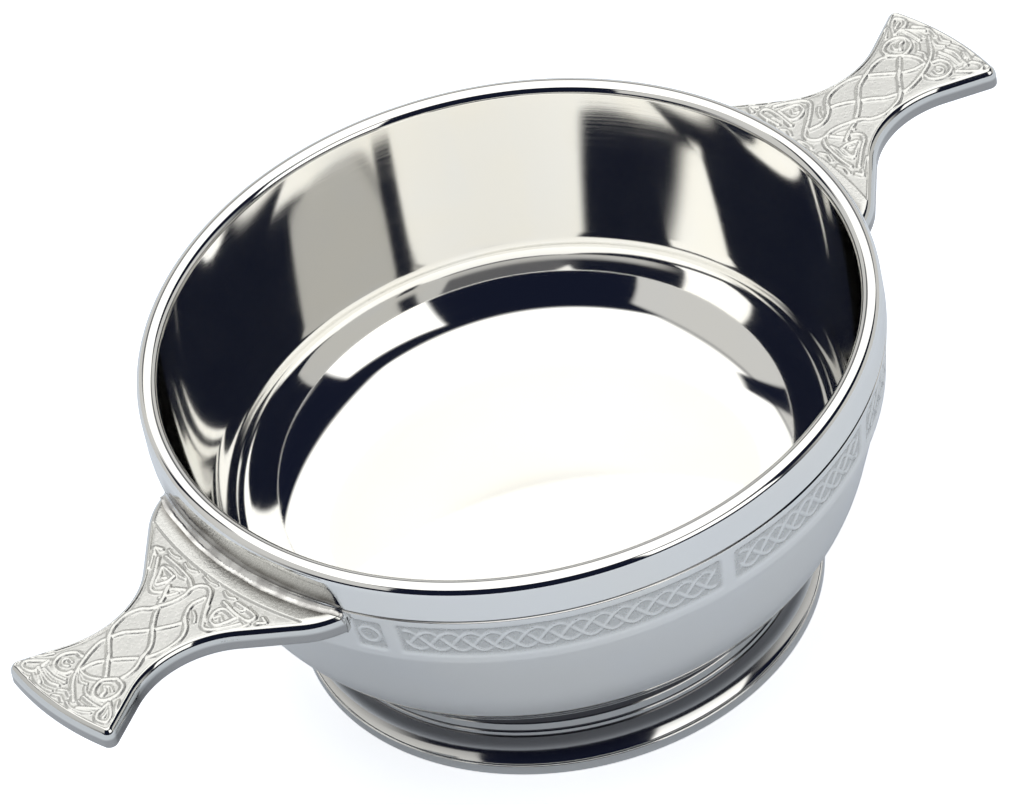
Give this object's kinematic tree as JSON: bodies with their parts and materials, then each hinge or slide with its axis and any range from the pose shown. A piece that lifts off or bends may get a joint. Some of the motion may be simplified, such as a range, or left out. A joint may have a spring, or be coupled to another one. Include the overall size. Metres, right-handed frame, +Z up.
{
  "type": "quaich",
  "caption": "Shallow round pewter drinking bowl with flat flared lugs on opposite sides of its collar, a band of sunk panels, and a soldered ring foot.",
  "frame": {"origin": "centre of the foot's underside, on the table", "axes": "+Z up through the bowl's mouth, +X along the right lug"},
  "size_m": [0.164, 0.1, 0.0485],
  "materials": {
    "polished_pewter": "mirror polished",
    "cast_pewter": "cast and satin, with polished edges",
    "solder": "dressed solder"
  },
  "bodies": {
    "root": {"bowl": "polished_pewter", "lug_right": "cast_pewter", "lug_left": "cast_pewter", "foot_ring": "polished_pewter", "seam_lug_right": "solder", "seam_lug_left": "solder", "seam_foot": "solder"}
  },
  "joints": []
}
